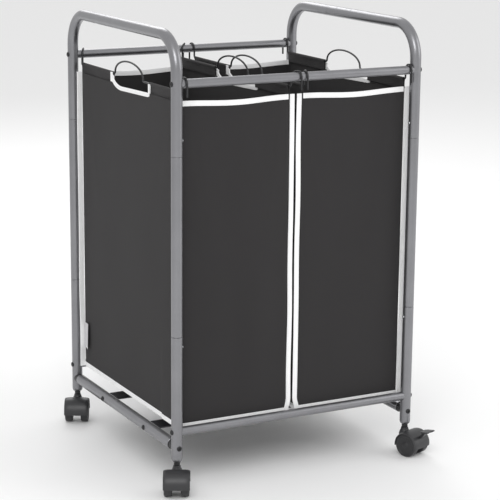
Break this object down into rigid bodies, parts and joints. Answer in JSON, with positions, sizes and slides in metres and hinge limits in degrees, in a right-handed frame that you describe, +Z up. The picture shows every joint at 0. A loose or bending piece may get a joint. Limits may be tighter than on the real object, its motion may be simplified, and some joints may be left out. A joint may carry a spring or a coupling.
{
  "type": "laundry sorter cart",
  "caption": "Wheeled tube-frame laundry sorter with lift-out fabric bags hung side by side on wire hooks between hooped end handles.",
  "frame": {"origin": "on the floor, midway between the four posts", "axes": "+X along the rails from the left end frame to the right one, +Y from the front to the back, +Z up"},
  "size_m": [0.5251, 0.5552, 0.7715],
  "materials": {
    "silver_tube": "silver-grey metallic powder coat, satin",
    "dark_slat": "dark grey, satin",
    "saddle_plastic": "black, matte",
    "bright_steel": "bright zinc plated",
    "black_wire": "black, satin dip coat",
    "black_cloth": "plain-woven charcoal black cloth, matte",
    "caster_plastic": "dark grey moulded, satin",
    "wheel_plastic": "dark grey moulded, matte tread"
  },
  "bodies": {
    "cart": {"handle_hoop_left": "silver_tube", "handle_hoop_right": "silver_tube", "side_rail_left": "silver_tube", "side_rail_right": "silver_tube", "lower_post_front_left": "silver_tube", "lower_post_back_left": "silver_tube", "lower_post_front_right": "silver_tube", "lower_post_back_right": "silver_tube", "middle_post_front_left": "silver_tube", "middle_post_back_left": "silver_tube", "middle_post_front_right": "silver_tube", "middle_post_back_right": "silver_tube", "saddle_front_left": "saddle_plastic", "saddle_back_left": "saddle_plastic", "saddle_front_right": "saddle_plastic", "saddle_back_right": "saddle_plastic", "top_rail_front": "silver_tube", "top_rail_back": "silver_tube", "bottom_rail_front": "silver_tube", "bottom_rail_back": "silver_tube", "base_slat_front": "dark_slat", "base_slat_back": "dark_slat", "caster_stem_front_left": "bright_steel", "caster_stem_back_left": "bright_steel", "caster_stem_front_right": "bright_steel", "caster_stem_back_right": "bright_steel"},
    "left_bag": {"bag_left": "black_cloth", "bag_wire_left_inner": "black_wire", "bag_wire_left_outer": "black_wire"},
    "right_bag": {"bag_right": "black_cloth", "bag_wire_right_inner": "black_wire", "bag_wire_right_outer": "black_wire"},
    "swivel_front_left": {"caster_hood_front_left": "caster_plastic", "caster_axle_front_left": "bright_steel"},
    "wheel_a_front_left": {"wheel_a_front_left": "wheel_plastic"},
    "wheel_b_front_left": {"wheel_b_front_left": "wheel_plastic"},
    "swivel_back_left": {"caster_hood_back_left": "caster_plastic", "caster_axle_back_left": "bright_steel"},
    "wheel_a_back_left": {"wheel_a_back_left": "wheel_plastic"},
    "wheel_b_back_left": {"wheel_b_back_left": "wheel_plastic"},
    "swivel_front_right": {"caster_hood_front_right": "caster_plastic", "caster_axle_front_right": "bright_steel"},
    "wheel_a_front_right": {"wheel_a_front_right": "wheel_plastic"},
    "wheel_b_front_right": {"wheel_b_front_right": "wheel_plastic"},
    "brake_front_right": {"brake_lever_front_right": "caster_plastic"},
    "swivel_back_right": {"caster_hood_back_right": "caster_plastic", "caster_axle_back_right": "bright_steel"},
    "wheel_a_back_right": {"wheel_a_back_right": "wheel_plastic"},
    "wheel_b_back_right": {"wheel_b_back_right": "wheel_plastic"},
    "brake_back_right": {"brake_lever_back_right": "caster_plastic"},
    "button_lower_front_left": {"snap_button_lower_front_left": "bright_steel"},
    "button_lower_back_left": {"snap_button_lower_back_left": "bright_steel"},
    "button_lower_front_right": {"snap_button_lower_front_right": "bright_steel"},
    "button_lower_back_right": {"snap_button_lower_back_right": "bright_steel"},
    "button_upper_front_left": {"snap_button_upper_front_left": "bright_steel"},
    "button_upper_back_left": {"snap_button_upper_back_left": "bright_steel"},
    "button_upper_front_right": {"snap_button_upper_front_right": "bright_steel"},
    "button_upper_back_right": {"snap_button_upper_back_right": "bright_steel"}
  },
  "joints": [
    {"name": "bag_left_lift", "type": "slide", "parent": "cart", "child": "left_bag", "axis": [0, 0, 1], "range_m": [0, 0.7]},
    {"name": "bag_right_lift", "type": "slide", "parent": "cart", "child": "right_bag", "axis": [0, 0, 1], "range_m": [0, 0.7]},
    {"name": "brake_back_right", "type": "hinge", "parent": "swivel_back_right", "child": "brake_back_right", "pos_m": [0.23577, 0.2471, 0.034], "axis": [-0.9397, 0.342, 0], "range_deg": [0, 20]},
    {"name": "brake_front_right", "type": "hinge", "parent": "swivel_front_right", "child": "brake_front_right", "pos_m": [0.23577, -0.2471, 0.034], "axis": [0.9397, 0.342, 0], "range_deg": [0, 20]},
    {"name": "caster_swivel_back_left", "type": "hinge", "parent": "cart", "child": "swivel_back_left", "pos_m": [-0.225, 0.2175, 0.05], "axis": [0, 0, 1], "continuous": true},
    {"name": "caster_swivel_back_right", "type": "hinge", "parent": "cart", "child": "swivel_back_right", "pos_m": [0.225, 0.2175, 0.05], "axis": [0, 0, 1], "continuous": true},
    {"name": "caster_swivel_front_left", "type": "hinge", "parent": "cart", "child": "swivel_front_left", "pos_m": [-0.225, -0.2175, 0.05], "axis": [0, 0, 1], "continuous": true},
    {"name": "caster_swivel_front_right", "type": "hinge", "parent": "cart", "child": "swivel_front_right", "pos_m": [0.225, -0.2175, 0.05], "axis": [0, 0, 1], "continuous": true},
    {"name": "snap_button_lower_back_left", "type": "slide", "parent": "cart", "child": "button_lower_back_left", "axis": [-1, 0, 0], "range_m": [0, 0.003], "stiffness_N_per_m": 800},
    {"name": "snap_button_lower_back_right", "type": "slide", "parent": "cart", "child": "button_lower_back_right", "axis": [1, 0, 0], "range_m": [0, 0.003], "stiffness_N_per_m": 800},
    {"name": "snap_button_lower_front_left", "type": "slide", "parent": "cart", "child": "button_lower_front_left", "axis": [-1, 0, 0], "range_m": [0, 0.003], "stiffness_N_per_m": 800},
    {"name": "snap_button_lower_front_right", "type": "slide", "parent": "cart", "child": "button_lower_front_right", "axis": [1, 0, 0], "range_m": [0, 0.003], "stiffness_N_per_m": 800},
    {"name": "snap_button_upper_back_left", "type": "slide", "parent": "cart", "child": "button_upper_back_left", "axis": [-1, 0, 0], "range_m": [0, 0.003], "stiffness_N_per_m": 800},
    {"name": "snap_button_upper_back_right", "type": "slide", "parent": "cart", "child": "button_upper_back_right", "axis": [1, 0, 0], "range_m": [0, 0.003], "stiffness_N_per_m": 800},
    {"name": "snap_button_upper_front_left", "type": "slide", "parent": "cart", "child": "button_upper_front_left", "axis": [-1, 0, 0], "range_m": [0, 0.003], "stiffness_N_per_m": 800},
    {"name": "snap_button_upper_front_right", "type": "slide", "parent": "cart", "child": "button_upper_front_right", "axis": [1, 0, 0], "range_m": [0, 0.003], "stiffness_N_per_m": 800},
    {"name": "wheel_a_back_left_roll", "type": "hinge", "parent": "swivel_back_left", "child": "wheel_a_back_left", "pos_m": [-0.23295, 0.20191, 0.021], "axis": [0.891, -0.454, 0], "continuous": true},
    {"name": "wheel_a_back_right_roll", "type": "hinge", "parent": "swivel_back_right", "child": "wheel_a_back_right", "pos_m": [0.23098, 0.23394, 0.021], "axis": [-0.9397, 0.342, 0], "continuous": true},
    {"name": "wheel_a_front_left_roll", "type": "hinge", "parent": "swivel_front_left", "child": "wheel_a_front_left", "pos_m": [-0.23295, -0.23309, 0.021], "axis": [0.891, -0.454, 0], "continuous": true},
    {"name": "wheel_a_front_right_roll", "type": "hinge", "parent": "swivel_front_right", "child": "wheel_a_front_right", "pos_m": [0.23098, -0.23394, 0.021], "axis": [0.9397, 0.342, 0], "continuous": true},
    {"name": "wheel_b_back_left_roll", "type": "hinge", "parent": "swivel_back_left", "child": "wheel_b_back_left", "pos_m": [-0.23295, 0.20191, 0.021], "axis": [0.891, -0.454, 0], "continuous": true},
    {"name": "wheel_b_back_right_roll", "type": "hinge", "parent": "swivel_back_right", "child": "wheel_b_back_right", "pos_m": [0.23098, 0.23394, 0.021], "axis": [-0.9397, 0.342, 0], "continuous": true},
    {"name": "wheel_b_front_left_roll", "type": "hinge", "parent": "swivel_front_left", "child": "wheel_b_front_left", "pos_m": [-0.23295, -0.23309, 0.021], "axis": [0.891, -0.454, 0], "continuous": true},
    {"name": "wheel_b_front_right_roll", "type": "hinge", "parent": "swivel_front_right", "child": "wheel_b_front_right", "pos_m": [0.23098, -0.23394, 0.021], "axis": [0.9397, 0.342, 0], "continuous": true}
  ]
}
